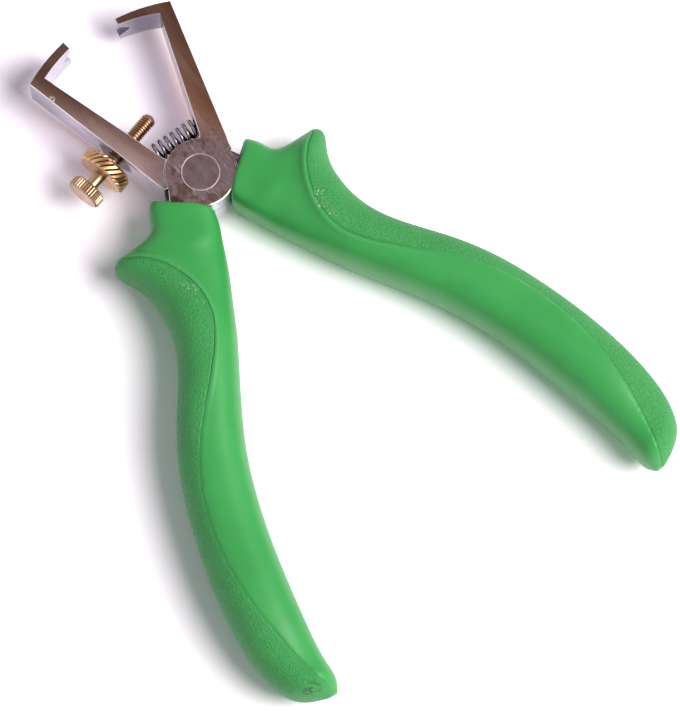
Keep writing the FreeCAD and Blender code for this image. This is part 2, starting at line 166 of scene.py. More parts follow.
def relief(height, depth, normal=None):
    """Normals of a surface whose height runs from 0 to depth metres."""
    sockets = {"Height": height, "Distance": depth, "Strength": 1.0}
    if normal:
        sockets["Normal"] = normal
    return height.node("Bump", sockets)


def distance(place, point):
    return place.node("VectorMath", {0: place, 1: point}, output="Value", operation="DISTANCE")


def along(place, direction):
    return place.node("VectorMath", {0: place, 1: direction}, output="Value", operation="DOT_PRODUCT")


# The sides' pale lavender is a painted reflection of the table, the flats' warm brown partly a painted
# reflection of the brown ceiling, and the pale edge steel also paints the chamfers' highlights.
side_steel = (0.74, 0.72, 0.82, 1)
dull_side_steel = (0.29, 0.285, 0.345, 1)
pale_steel = (0.86, 0.76, 0.77, 1)
brown_reflection_steel = (0.52, 0.325, 0.22, 1)
dark_steel = (0.36, 0.25, 0.195, 1)
joint_steel = (0.42, 0.34, 0.375, 1)
scuffed_steel = (0.23, 0.16, 0.135, 1)
scratch_and_highlight_steel = (0.82, 0.72, 0.73, 1)
# Black for painted shade and shadow.
painted_shade_black = (0.05, 0.042, 0.042, 1)
crown_reach = 5 * mm
crown_depth = 0.15 * mm
streak_depth = 0.014 * mm
scuff_depth = 0.016 * mm
ground_fray = 5 * mm
dark_start, dark_end, dark_fray, dark_streak = 22 * mm, 46 * mm, 9 * mm, 7 * mm
dulling_start, dulling_end, dulling_fray = 33 * mm, 42 * mm, 6 * mm
test_mark = (-17.2 * mm, 33.2 * mm, 10.0 * mm)
test_mark_radius = 0.6 * mm
test_mark_depth = 0.12 * mm
screw_seat = Vector((-12.80, 15.09, 5.0)) * mm
nut_shade_reach = 5.2 * mm
shoulder_start, shoulder_end = 6.3 * mm, 6.8 * mm
shoulder_low, shoulder_top = 0.9 * mm, 1.3 * mm
shoulder_shadow_radius, shoulder_shadow_half_width, shoulder_shadow_top = 8.9 * mm, 1.6 * mm, 3 * mm


def band(value, middle, half_width):
    """1 within a band about the middle and 0 outside it, with soft edges."""
    return 1 - rise(abs(value - middle), 0.5 * half_width, half_width)


def lever_finish(name, arm_lean, arm_foot, brown_reflection_share):
    """Steel with belt streaks and a slight crown along the arm, ground and scuffed at the joint."""
    finish, shade = new_finish(name)
    place = shade.node("TexCoord", {}, output="Object")
    plan = place.node("VectorMath", {0: place, 1: (1, 1, 0)}, operation="MULTIPLY")
    from_joint = distance(plan, (0, 0, 0))
    ahead = along(place, (0, 1, 0))
    from_middle = abs(along(place, (0, 0, 1)) - half_thickness)
    on_flat = rise(from_middle, half_thickness - 3 * touch_reach, half_thickness - touch_reach)
    on_side = 1 - rise(from_middle, half_thickness - edge_break, half_thickness - 0.8 * edge_break)
    on_edge = (1 - on_flat) * (1 - on_side)
    cloud = noise(place, scale=160, detail=4)
    blotches = noise(place, scale=620, detail=5)
    scratches = noise(place, scale=1900, detail=4, stretch=(1, 0.15, 1), turn=math.radians(35))
    streaks = noise(place, scale=420, detail=4, stretch=(1, 0.06, 1), turn=arm_lean)
    belt_marks = noise(place, scale=1500, detail=3, stretch=(1, 0.06, 1), turn=arm_lean)

    # The flats: polished arms that darken towards the blades, a ground joint, and a painted shadow on the
    # lap beside the shoulders.
    ground = 1 - rise(from_joint + ground_fray * cloud, joint_radius, 2 * joint_radius)
    near_blade = rise(from_joint + dark_fray * cloud + dark_streak * streaks, dark_start, dark_end)
    # The flats' warm brown, stronger on the upper lever, is partly a painted reflection of the brown
    # ceiling.
    arm_tone = tint(brown_reflection_share * (0.6 + 0.4 * rise(streaks, 0.38, 0.62)), pale_steel, brown_reflection_steel)
    arm_tone = tint(0.9 * near_blade, arm_tone, dark_steel)
    ground_grey = tint(rise(cloud + 0.6 * blotches, 0.74, 0.88), joint_steel, scuffed_steel)
    ground_grey = tint(0.7 * rise(scratches, 0.58, 0.68), ground_grey, scratch_and_highlight_steel)
    mark_rim = band(distance(place, test_mark), 0.8 * test_mark_radius, 0.45 * test_mark_radius)
    past_shoulder = rise(abs(along(place, (1, 0, 0))), shoulder_start, shoulder_end)
    beside_joint = band(from_joint, shoulder_shadow_radius, shoulder_shadow_half_width)
    # Painted shadow on the lap flat beside the shoulders, broken up by the blotches.
    painted_shoulder_shadow = past_shoulder * beside_joint * (1 - rise(ahead, 0, shoulder_shadow_top))
    flat_colour = tint(ground, arm_tone, ground_grey)
    # The test mark's raised rim is painted pale as a highlight.
    flat_colour = tint(0.6 * mark_rim, flat_colour, scratch_and_highlight_steel)
    flat_colour = tint(0.75 * painted_shoulder_shadow * rise(blotches, 0.30, 0.55), flat_colour, painted_shade_black)

    # The sides: bright, duller at the blades, with a painted shadow and reflection of the nut round the stop
    # screw and painted shade under the shoulders.
    # The sides grow duller towards the blades and in streaks along the arm.
    side_dulling = rise(from_joint + dulling_fray * cloud, dulling_start, dulling_end) * (0.62 + 0.3 * blotches)
    side_dulling = side_dulling + (1 - side_dulling) * 0.5 * rise(streaks, 0.45, 0.70)
    # Painted shadow and reflection of the lock nut on the side round the stop screw.
    painted_nut_shade = 1 - rise(distance(place, screw_seat), 0.75 * nut_shade_reach, nut_shade_reach)
    # Painted shade on the sides under the shoulders is added to the nut's.
    painted_side_shade = painted_nut_shade + past_shoulder * (1 - rise(ahead, shoulder_low, shoulder_top))
    side_colour = tint(side_dulling, side_steel, dull_side_steel)
    side_colour = tint(painted_side_shade, side_colour, painted_shade_black)

    across = Vector((math.cos(arm_lean), -math.sin(arm_lean), 0))
    aside = along(place, across) - Vector(arm_foot).dot(across)
    crown = rise(aside, -crown_reach, 0) * (1 - rise(aside, 0, crown_reach))
    skin = relief((1 - ground) * crown, crown_depth)
    skin = relief(streaks + 0.4 * belt_marks, streak_depth, skin)
    skin = relief(ground * (blotches + 0.3 * scratches), scuff_depth, skin)
    skin = relief(mark_rim, test_mark_depth, skin)
    # Flats, chamfers and sides of one steel get different colours: painted reflections of the ceiling and
    # the table, and a painted highlight on the chamfers.
    lay_on(
        finish, shade, Metallic=1.0, Normal=skin,
        Base_Color=tint(on_side, tint(on_flat, scratch_and_highlight_steel, flat_colour), side_colour),
        Roughness=0.11 + 0.08 * streaks + 0.08 * belt_marks + ground * 0.14 * blotches + 0.2 * on_edge,
    )
    return finish


def make_piece(mesh, name, finish):
    """Shades a finished mesh smooth between its creases and makes it an object."""
    for face in mesh.faces:
        face.smooth = True
    for edge in mesh.edges:
        edge.smooth = edge.calc_face_angle(0.0) < crease
    data = bpy.data.meshes.new(name)
    mesh.to_mesh(data)
    mesh.free()
    data.materials.append(finish)
    piece = bpy.data.objects.new(name, data)
    bpy.context.scene.collection.objects.link(piece)
    return piece


def ramp(value, start, end):
    """0 up to the start, 1 from the end on and a straight line between them."""
    return min(max((value - start) / (end - start), 0), 1)


def chamfer_share(middle):
    """Share of the full edge break that a sharp edge gets, by where its middle lies."""
    from_joint = math.hypot(middle.x, middle.y)
    at_the_lap = abs(middle.z - half_thickness) < lap_reach
    if at_the_lap or middle.y < grip_mouth_level or from_joint > blade_start:
        return 0.0
    at_a_face = min(middle.z, steel_thickness - middle.z) < touch_reach
    if from_joint < bore_reach or not at_a_face:
        return fine_break
    if abs(from_joint - joint_radius) < rim_reach:
        return ring_break + (1 - ring_break) * ramp(middle.y, ring_break_end, full_break_start)
    return arm_break


# Each lever with its arm's lean, its arm's foot and its share of painted brown reflection on the flats.
for node, arm_lean, arm_foot, brown_reflection_share in (
    ("lower_half", math.radians(-17.3), (-6.95 * mm, 4.4 * mm, 0), 0.2),
    ("upper_half", math.radians(15.5), (6.95 * mm, 4.4 * mm, 0), 1.0),
):
    lever = bmesh.new()
    lever.from_mesh(frame["nodes"][node].data)
    bmesh.ops.remove_doubles(lever, verts=lever.verts, dist=merge_reach)
    bmesh.ops.dissolve_limit(
        lever, angle_limit=flatness, verts=lever.verts, edges=lever.edges, use_dissolve_boundaries=False
    )
    for turn in joint_cuts:
        everything = [*lever.verts, *lever.edges, *lever.faces]
        across = Matrix.Rotation(math.radians(turn), 3, "Z") @ Vector((1, 0, 0))
        bmesh.ops.bisect_plane(lever, geom=everything, dist=merge_reach, plane_co=(0, 0, 0), plane_no=across)
    share = lever.edges.layers.float.new("bevel_weight_edge")
    for edge in lever.edges:
        if edge.is_convex and edge.calc_face_angle(0.0) > crease:
            edge[share] = chamfer_share((edge.verts[0].co + edge.verts[1].co) / 2)
    finish = lever_finish(node + "_steel", arm_lean, arm_foot, brown_reflection_share)
    piece = make_piece(lever, node + "_lever", finish)
    chamfer = piece.modifiers.new("broken edges", "BEVEL")
    chamfer.width = edge_break
    chamfer.segments = 2
    chamfer.limit_method = "WEIGHT"
    chamfer.use_clamp_overlap = False
    chamfer.harden_normals = True
    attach(piece, node)
    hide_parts(node)


# The rivet: a turned steel pin with a flush head let into each lever, ground off level with them,
# so that only its chamfered rim shows, as a ring painted pale for a highlight.
rivet_head = 4.25 * mm
rivet_shank = 3.0 * mm
rivet_head_depth = 1.6 * mm
rivet_break = 0.12 * mm
rivet_sides = 96
weld_reach = 0.0001 * mm
rivet_grey = (0.37, 0.31, 0.335, 1)
rivet_brown = (0.27, 0.21, 0.215, 1)
grinding_depth = 0.010 * mm

rivet_steel, shade = new_finish("rivet_steel")
place = shade.node("TexCoord", {}, output="Object")
plan = place.node("VectorMath", {0: place, 1: (1, 1, 0)}, operation="MULTIPLY")
rim = rise(distance(plan, (0, 0, 0)), rivet_head - 1.2 * rivet_break, rivet_head - 0.8 * rivet_break)
cloud = noise(place, scale=420, detail=4)
grinding = noise(place, scale=900, detail=4, stretch=(1, 0.12, 1), turn=math.radians(-20))
face_colour = tint(rise(cloud, 0.35, 0.65), rivet_grey, rivet_brown)
lay_on(
    rivet_steel, shade, Metallic=1.0, Normal=relief(grinding, grinding_depth),
    # The rim's pale ring is a painted highlight.
    Base_Color=tint(rim, face_colour, scratch_and_highlight_steel),
    Roughness=0.16 + 0.14 * grinding + 0.10 * cloud + 0.2 * rim,
)


def turn_up(mesh, profile, sides):
    """Turns a run of radius and height pairs about the Z axis, closing its ends on the axis."""
    row = [mesh.verts.new((radius, 0, height)) for radius, height in profile]
    run = [mesh.edges.new(pair) for pair in zip(row, row[1:])]
    bmesh.ops.spin(
        mesh, geom=row + run, cent=(0, 0, 0), axis=(0, 0, 1), angle=math.tau, steps=sides, use_merge=True
    )
    bmesh.ops.remove_doubles(mesh, verts=mesh.verts, dist=weld_reach)
    bmesh.ops.recalc_face_normals(mesh, faces=mesh.faces)


rivet = bmesh.new()
lower_end = (
    (0, 0), (rivet_head - rivet_break, 0), (rivet_head, rivet_break),
    (rivet_head, rivet_head_depth), (rivet_shank, rivet_head_depth),
)
upper_end = [(radius, steel_thickness - height) for radius, height in reversed(lower_end)]
turn_up(rivet, [*lower_end, *upper_end], rivet_sides)
piece = make_piece(rivet, "rivet", rivet_steel)
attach(piece, "lower_half")
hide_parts("pivot_rivet")


# The opening spring: hard-drawn round wire wound left-handed into an open coil and held between
# blind seats in the two levers, which it pushes apart. Its outer side is painted bright as a highlight.
spring_low, spring_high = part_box("opening_spring")
spring_middle = (spring_low + spring_high) / 2
spring_radius = (spring_high.z - spring_low.z) / 2
wire_radius = 0.41 * mm
wire_sides = 14
spring_turns = 8.75
spring_steps_a_turn = 36
wire_dark = (0.030, 0.026, 0.028, 1)
wire_highlight = (0.30, 0.27, 0.28, 1)
wire_glance = (0.12, 0.11, 0.12, 1)
drawing_depth = 0.004 * mm

spring_steel, shade = new_finish("spring_steel")
place = shade.node("TexCoord", {}, output="Object")
drawing = noise(place, scale=1500, detail=3)
cross = place.node("VectorMath", {0: place, 1: (0, 1, 1)}, operation="MULTIPLY")
from_axis = distance(cross, (0, spring_middle.y, spring_middle.z))
# A painted highlight along the coil's outer side.
painted_coil_highlight = rise(from_axis, spring_radius - 0.8 * wire_radius, spring_radius - 0.05 * wire_radius)
lay_on(
    spring_steel, shade, Metallic=1.0, Normal=relief(drawing, drawing_depth),
    Base_Color=tint(painted_coil_highlight, wire_dark, wire_highlight),
    Roughness=0.20 + 0.12 * drawing, Specular_Tint=wire_glance,
)

coil = bmesh.new()
section = bmesh.ops.create_circle(coil, segments=wire_sides, radius=wire_radius)["verts"]
upright = Matrix.Rotation(math.radians(90), 4, "X")
bmesh.ops.transform(coil, verts=section, matrix=upright)
start = Vector((spring_low.x + wire_radius, spring_middle.y, spring_middle.z))
bmesh.ops.translate(coil, verts=section, vec=start - Vector((0, 0, spring_radius - wire_radius)))
bmesh.ops.contextual_create(coil, geom=section)
steps = round(spring_turns * spring_steps_a_turn)
rise_a_step = (spring_high.x - spring_low.x - 2 * wire_radius) / steps
tip = [*section, *{edge for vert in section for edge in vert.link_edges}]
wound = bmesh.ops.spin(
    coil, geom=tip, cent=start, axis=(1, 0, 0), dvec=(rise_a_step, 0, 0),
    angle=-math.tau * spring_turns, steps=steps, use_merge=False,
)
far_end = [item for item in wound["geom_last"] if isinstance(item, bmesh.types.BMVert)]
bmesh.ops.contextual_create(coil, geom=far_end)
bmesh.ops.recalc_face_normals(coil, faces=coil.faces)
spring = make_piece(coil, "spring", spring_steel)
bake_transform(spring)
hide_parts("opening_spring")


# The adjusting screw: turned brass with a fine rolled thread, a domed tip that stops the other
# lever, a plain neck and a straight-knurled head for the fingers.
screw_axis = next(Vector(joint["axis"]) for joint in frame["joints"] if joint["name"] == "screw_travel")
thread_radius = 1.75 * mm
thread_pitch = 0.6 * mm
thread_depth = 0.30 * mm
# The thread over one pitch: shares of the pitch, each with the share of the depth reached there.
thread_profile = ((0.0, 0.0), (0.30, 1.0), (0.42, 1.0), (0.72, 0.0), (1.0, 0.0))
thread_steps_a_turn = 40
screw_reach = 12.6 * mm
tip_round = 1.35 * mm
tip_radius = thread_radius - 0.05 * mm
tip_lifts = (0, 15, 30, 45, 60, 75, 84)
neck_start = -5.3 * mm
neck_radius = 1.4 * mm
neck_break = 0.2 * mm
head_start = -8.7 * mm
head_end = -11.5 * mm
head_radius = 4.1 * mm
head_chamfer = 0.4 * mm
head_teeth = 36
head_tooth_depth = 0.3 * mm
head_land = 0.3
points_a_tooth = 8
screw_bright = (0.52, 0.36, 0.25, 1)
screw_dull = (0.38, 0.245, 0.145, 1)
inner_end_dark_brass = (0.27, 0.155, 0.085, 1)
groove_dark_brass = (0.10, 0.050, 0.020, 1)
darkening_start, darkening_end = -3 * mm, 6 * mm
lathe_depth = 0.001 * mm


def brass_finish(name, bright, dull):
    """Brass with lathe marks and dull patches, darker down the knurl's grooves and towards the inner end."""
    finish, shade = new_finish(name)
    place = shade.node("TexCoord", {}, output="Object")
    groove = shade.node("Attribute", {}, output="Fac", attribute_name="groove")
    station = along(place, screw_axis) - screw_seat.dot(screw_axis)
    lathe = station.node("TexNoise", {"W": station, "Scale": 5000, "Detail": 2}, noise_dimensions="1D")
    cloud = noise(place, scale=420, detail=4)
    colour = tint(rise(cloud, 0.3, 0.7), bright, dull)
    colour = tint(0.8 * rise(station, darkening_start, darkening_end), colour, inner_end_dark_brass)
    lay_on(
        finish, shade, Metallic=1.0, Normal=relief(lathe, lathe_depth),
        Base_Color=tint(rise(groove, 0.25, 0.95), colour, groove_dark_brass),
        Roughness=0.22 + 0.06 * lathe + 0.12 * cloud + 0.15 * groove,
    )
    return finish


def stack_rings(mesh, segments, stations, place):
    """Draws a skin through rings of points, place(station, turn) giving each, and returns its two rims."""
    turn = mesh.verts.layers.float.get("turn") or mesh.verts.layers.float.new("turn")
    ring = bmesh.ops.create_circle(mesh, segments=segments, radius=1)["verts"]
    for vert in ring:
        vert[turn] = math.atan2(vert.co.y, vert.co.x)
    rim = list({edge for vert in ring for edge in vert.link_edges})
    first = rim
    for station in stations:
        if station != stations[0]:
            grown = bmesh.ops.extrude_edge_only(mesh, edges=rim)["geom"]
            rim = [item for item in grown if isinstance(item, bmesh.types.BMEdge)]
            ring = [item for item in grown if isinstance(item, bmesh.types.BMVert)]
        for vert in ring:
            vert.co = place(station, vert[turn])
    return first, rim


def mark_grooves(mesh, radius, depth, low, high):
    """Notes on each point of a knurled rim, between two heights, how far down a groove it lies."""
    groove = mesh.verts.layers.float.get("groove") or mesh.verts.layers.float.new("groove")
    for vert in mesh.verts:
        if low - touch_reach < vert.co.z < high + touch_reach:
            vert[groove] = (radius - math.hypot(vert.co.x, vert.co.y)) / depth


def knurled(radius, teeth, depth, land):
    """Radius round a knurled rim: flat lands of a share of the pitch, with V grooves between them."""
    def at(turn):
        from_land = abs((turn / math.tau * teeth) % 1 - 0.5) * 2
        return radius - depth * max(from_land - land, 0) / (1 - land)

    return at


screw = bmesh.new()
thread_turns = math.ceil((screw_reach - neck_start) / thread_pitch) + 1
row = []
for share, height in thread_profile:
    radius = thread_radius - (1 - height) * thread_depth
    row.append(screw.verts.new((radius, 0, neck_start + (share - 1) * thread_pitch)))
run = [screw.edges.new(pair) for pair in zip(row, row[1:])]
steps = thread_turns * thread_steps_a_turn
bmesh.ops.spin(
    screw, geom=row + run, cent=(0, 0, 0), axis=(0, 0, 1), dvec=(0, 0, thread_turns * thread_pitch / steps),
    angle=math.tau * thread_turns, steps=steps, use_merge=False,
)
bmesh.ops.remove_doubles(screw, verts=screw.verts, dist=weld_reach)
for height, away in ((neck_start, -1), (screw_reach - tip_round, 1)):
    everything = [*screw.verts, *screw.edges, *screw.faces]
    bmesh.ops.bisect_plane(
        screw, geom=everything, plane_co=(0, 0, height), plane_no=(0, 0, away), clear_outer=True
    )
open_edges = [edge for edge in screw.edges if edge.is_boundary]
rims = [
    [edge for edge in open_edges if abs(edge.verts[0].co.z - height) < touch_reach]
    for height in (neck_start, screw_reach - tip_round)
]
for lift in tip_lifts:
    grown = bmesh.ops.extrude_edge_only(screw, edges=rims[1])["geom"]
    rims[1] = [item for item in grown if isinstance(item, bmesh.types.BMEdge)]
    for vert in (item for item in grown if isinstance(item, bmesh.types.BMVert)):
        radius = tip_radius * math.cos(math.radians(lift))
        height = screw_reach - tip_round * (1 - math.sin(math.radians(lift)))
        vert.co = Vector((vert.co.x, vert.co.y, 0)).normalized() * radius + Vector((0, 0, height))
bmesh.ops.edgeloop_fill(screw, edges=rims[1])
bmesh.ops.edgeloop_fill(screw, edges=rims[0])

head_rim = knurled(head_radius, head_teeth, head_tooth_depth, head_land)
plain_rim = head_radius - head_chamfer


def screw_ring(station, turn):
    height, size = station
    radius = min(head_rim(turn), size)
    return Vector((radius * math.cos(turn), radius * math.sin(turn), height))


inner_end, outer_end = stack_rings(
    screw, head_teeth * points_a_tooth,
    (
        (neck_start, neck_radius - neck_break), (neck_start, neck_radius), (head_start, neck_radius),
        (head_start, plain_rim), (head_start - head_chamfer, head_radius),
        (head_end + head_chamfer, head_radius), (head_end, plain_rim),
    ),
    screw_ring,
)
bmesh.ops.edgeloop_fill(screw, edges=inner_end)
bmesh.ops.edgeloop_fill(screw, edges=outer_end)
mark_grooves(screw, head_radius, head_tooth_depth, head_end + head_chamfer, head_start - head_chamfer)
bmesh.ops.recalc_face_normals(screw, faces=screw.faces)
facing = screw_axis.to_track_quat("Z", "Y").to_matrix().to_4x4()
in_the_lever = Matrix.Translation(screw_seat) @ facing
bmesh.ops.transform(screw, verts=screw.verts, matrix=in_the_lever)
screw_brass = brass_finish("screw_brass", screw_bright, screw_dull)
piece = make_piece(screw, "screw", screw_brass)
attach(piece, "adjusting_screw")
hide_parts("adjusting_screw")


# The lock nut: a round brass nut on the same thread, coned on the lever's side, chamfered on the
# other and cut with a slanting knurl, which is spun against the lever by hand to hold the setting.
nut_inside = -2.0 * mm
nut_outside = -5.3 * mm
nut_radius = 6.0 * mm
nut_bore = 1.8 * mm
nut_chamfer = 0.5 * mm
nut_cone = 0.6 * mm
nut_teeth = 25
nut_tooth_depth = 0.42 * mm
nut_land = 0.5
nut_slant = math.tan(math.radians(44)) / nut_radius
nut_steps = 7
nut_bright = (0.66, 0.42, 0.23, 1)
nut_dull = (0.49, 0.29, 0.14, 1)
nut_rim = knurled(nut_radius, nut_teeth, nut_tooth_depth, nut_land)


def nut_ring(station, turn):
    height, size = station
    radius = min(nut_rim(turn), size)
    twisted = turn + nut_slant * (height - nut_outside)
    return Vector((radius * math.cos(twisted), radius * math.sin(twisted), height))


nut = bmesh.new()
rim_start = nut_outside + nut_chamfer
rim_end = nut_inside - nut_cone
rim_heights = [rim_start + (rim_end - rim_start) * step / nut_steps for step in range(nut_steps + 1)]
outer_bore, inner_bore = stack_rings(
    nut, nut_teeth * points_a_tooth,
    [
        (nut_outside, nut_bore), (nut_outside, nut_radius - nut_chamfer),
        *((height, nut_radius) for height in rim_heights),
        (nut_inside, nut_radius - nut_cone), (nut_inside, nut_bore),
    ],
    nut_ring,
)
bmesh.ops.bridge_loops(nut, edges=outer_bore + inner_bore)
mark_grooves(nut, nut_radius, nut_tooth_depth, rim_start, rim_end)
bmesh.ops.recalc_face_normals(nut, faces=nut.faces)
bmesh.ops.transform(nut, verts=nut.verts, matrix=in_the_lever)
nut_brass = brass_finish("nut_brass", nut_bright, nut_dull)
piece = make_piece(nut, "nut", nut_brass)
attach(piece, "lock_nut")
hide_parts("lock_nut")


# The grips: one-piece mouldings in tough green plastic, pushed over the levers' tangs. A grooved
# crest divides the smooth inner side, which carries the thumb guard's scoop, from the grained palm,
# and a fine parting line runs round the sides where the two halves of the mould met.
grip_segments = 120
crest_steps = 260

# Lengths are in millimetres here, until the finished mesh is scaled to metres.
mouth_middle = Vector((-7.91, -3.40, 5.0))
handle_lean = math.radians(27.9)
handle_outward = Vector((-math.cos(handle_lean), math.sin(handle_lean), 0))
handle_forward = Vector((-math.sin(handle_lean), -math.cos(handle_lean), 0))
handle_straight = 52.6
handle_bend_radius = 148.0
handle_end, station_step = 120, 0.5
palm_recess = 0.32
palm_step = 0.9
mouth_turn = math.radians(27.9 - 41.0)
mouth_round = 0.9
mouth_zone = 3
mouth_wave = 0.2
mouth_lip, lip_slope = 0.5, 2.2
scoop_depth = 2.6
scoop_reach = 13.0
scoop_start, scoop_full, scoop_fade, scoop_end = 3, 11, 16, 31
bead_round = 1.2
pocket_depth, pocket_rim, pocket_flare = 7.2, 0.3, 0.25
pocket_half_width, pocket_shift, pocket_half_height = 4.45, -1.95, 5.15
pocket_squareness = 9.0
collar_start, guard_end, toe_length = 1.2, 24.0, 14.2
guard_step, handle_step, toe_steps, toe_round = 0.4, 0.9, 40, 1.4
# Each section: its station along the handle, its reach outwards and inwards from the handle's
# line, its half height, how much of the mouth's turn it takes, and how square its corners are.
grip_sections = (
    (0.0, 6.7, 7.6, 6.9, 1.0, 4.0),
    (3.4, 7.4, 8.3, 7.0, 1.0, 3.8),
    (7.8, 9.3, 8.4, 7.7, 0.5, 3.2),
    (11.2, 16.2, 8.6, 8.8, 0.0, 2.6),
    (15.4, 13.3, 9.0, 9.25, 0.0, 2.4),
    (20.6, 8.7, 9.2, 9.25, 0.0, 2.4),
    (30.6, 5.4, 8.9, 9.15, 0.0, 2.4),
    (48.6, 7.2, 7.7, 9.25, 0.0, 2.4),
    (76.6, 8.0, 8.1, 9.2, 0.0, 2.4),
    (100.6, 6.9, 8.3, 8.75, 0.0, 2.4),
    (111.6, 4.3, 8.1, 7.3, 0.0, 2.4),
    (116.6, -0.6, 7.6, 4.7, 0.0, 2.4),
    (118.2, -4.0, 6.7, 1.3, 0.0, 2.4),
)
grip_length = grip_sections[-1][0]
# The crest's line in plan: stations along the handle, each with its offset outwards.
crest_points = (
    (10.8, 19.0), (12.6, 8.0), (20.1, -1.2), (30.6, -4.1),
    (45.6, -0.5), (66.6, 3.8), (92.6, 1.3), (119.1, -5.8),
)


def smooth_through(knots, rows):
    """A function that gives the smooth curve through rows of numbers at rising knots."""
    knots = numpy.array(knots)
    rows = numpy.array(rows)
    gaps = numpy.diff(knots)
    ties = numpy.diag(1 / gaps, 1) + numpy.diag(1 / gaps, -1)
    pulls = 3 * numpy.diff(rows, axis=0) / gaps[:, None] ** 2
    none = numpy.zeros_like(rows[:1])
    slopes = numpy.linalg.solve(
        ties + 2 * numpy.diag(ties.sum(axis=1)), numpy.vstack([pulls, none]) + numpy.vstack([none, pulls])
    )

    def at(knot):
        index = int(numpy.clip(numpy.searchsorted(knots, knot) - 1, 0, len(knots) - 2))
        share = (knot - knots[index]) / gaps[index]
        left, right = (1 - share) ** 2, share ** 2
        return (
            rows[index] * (1 + 2 * share) * left
            + rows[index + 1] * (3 - 2 * share) * right
            + gaps[index] * share * (1 - share) * ((1 - share) * slopes[index] - share * slopes[index + 1])
        )

    return at


def handle_line(station):
    """Point and outward direction on the left handle's line, straight first and then bent."""
    if station <= handle_straight:
        return mouth_middle + handle_forward * station, handle_outward
    bend_start = mouth_middle + handle_forward * handle_straight
    bent = Matrix.Rotation((station - handle_straight) / handle_bend_radius, 3, "Z") @ handle_outward
    return bend_start - handle_outward * handle_bend_radius + bent * handle_bend_radius, bent


section_at = smooth_through([row[0] for row in grip_sections], [row[1:] for row in grip_sections])
crest_at = smooth_through(range(len(crest_points)), crest_points)
crest_line = []
for share in numpy.linspace(0, len(crest_points) - 1, crest_steps):
    station, offset = crest_at(share)
    middle, outward = handle_line(station)
    crest_line.append((middle + outward * offset).xy)
crest_line = numpy.array(crest_line)
crest_heading = numpy.gradient(crest_line, axis=0)
crest_heading /= numpy.linalg.norm(crest_heading, axis=1)[:, None]


def past_crest(point):
    """How far a point lies from the crest in plan, positive on the palm's side."""
    apart = numpy.array(point.xy) - crest_line
    nearest = int((apart ** 2).sum(axis=1).argmin())
    heading = crest_heading[nearest]
    across = heading[1] * apart[nearest][0] - heading[0] * apart[nearest][1]
    return math.copysign(math.hypot(*apart[nearest]), across)


def grip_point(ring, turn):
    """Point of the left grip's skin, or of the pocket in its mouth."""
    station, inset, in_pocket = ring
    outer, inner, height, lean, squareness = section_at(station)
    middle, outward = handle_line(station)
    outward = Matrix.Rotation(lean * mouth_turn, 3, "Z") @ outward
    half, shift = (outer + inner) / 2, (outer - inner) / 2
    if in_pocket:
        half, shift, height = pocket_half_width, pocket_shift, pocket_half_height
        squareness = pocket_squareness
    direction = Vector((math.cos(turn), math.sin(turn)))
    norm = (abs(direction.x) ** squareness + abs(direction.y) ** squareness) ** (1 / squareness)
    spread, lift = direction / norm
    point = middle + outward * ((half - inset) * spread + shift) + Vector((0, 0, (height - inset) * lift))
    if in_pocket or station < mouth_zone:
        wave = mouth_wave * math.sin(math.pi * (1 - spread))
        wave -= mouth_lip * max(1 - lip_slope * (1 - spread), 0) ** 2
        wave *= max(1 - station / mouth_zone, 0)
        return point + handle_forward * wave
    facing = Vector((
        math.copysign(abs(direction.x) ** (squareness - 1), direction.x) / half,
        math.copysign(abs(direction.y) ** (squareness - 1), direction.y) / height,
    )).normalized()
    past = past_crest(point)
    palm = ramp(past, -palm_step / 2, palm_step / 2)
    palm *= palm * (3 - 2 * palm)
    from_crest = max(-past, 0)
    to_rim = 1 - min(from_crest ** 2 / (from_crest + bead_round) / scoop_reach, 1)
    beside_guard = ramp(station, scoop_start, scoop_full) * ramp(station, scoop_end, scoop_fade)
    scoop = scoop_depth * beside_guard * to_rim ** 3 * (1 - to_rim ** 5)
    return point - (outward * facing.x + Vector((0, 0, facing.y))) * (palm_recess * palm + scoop)


green = (0.052, 0.44, 0.096, 1)
deep_green = (0.043, 0.39, 0.082, 1)
pale_grain = (0.19, 0.52, 0.26, 1)
dark_grain = (0.026, 0.25, 0.050, 1)
rubbed_white = (0.80, 0.90, 0.76, 1)
dark_stain = (0.012, 0.05, 0.016, 1)
groove_shade_green = (0.018, 0.20, 0.034, 1)
bead_highlight_green = (0.085, 0.54, 0.15, 1)
parting_highlight_green = (0.22, 0.50, 0.24, 1)
grain_depth = 0.30 * mm
bead_height = 0.16 * mm
groove_depth = 0.07 * mm
parting_height, parting_half_width = 0.06 * mm, 0.16 * mm
sag_depth = 0.05 * mm
end_stain = (-47.3 * mm, -109.3 * mm, 9.5 * mm)
stain_core, stain_reach = 1.0 * mm, 3.0 * mm

grip_plastic, shade = new_finish("grip_plastic")
place = shade.node("TexCoord", {}, output="Object")
beyond_crest = shade.node("Attribute", {}, output="Fac", attribute_name="past_crest")
down_handle = shade.node("Attribute", {}, output="Fac", attribute_name="station")
palm = rise(beyond_crest, 0.1, 0.6)
marked = 1 - rise(down_handle, 35, 60)
groove = band(beyond_crest, 0.35, 0.25)
bead = rise(beyond_crest, -1.6, -0.5) * (1 - rise(beyond_crest, -0.1, 0.25)) * marked
pebbles = place.node("TexVoronoi", {"Vector": place, "Scale": 2300, "Randomness": 1.0}, feature="SMOOTH_F1")
grain = noise(place, scale=3500, detail=4)
cloud = noise(place, scale=90, detail=4)
parting = band(along(place, (0, 0, 1)), half_thickness, parting_half_width)
skin = relief(palm * (0.5 * pebbles + grain), grain_depth)
skin = relief(bead, bead_height, skin)
skin = relief(1 - groove * (0.3 + 0.7 * marked), groove_depth, skin)
skin = relief(parting, parting_height, skin)
skin = relief(cloud, sag_depth, skin)

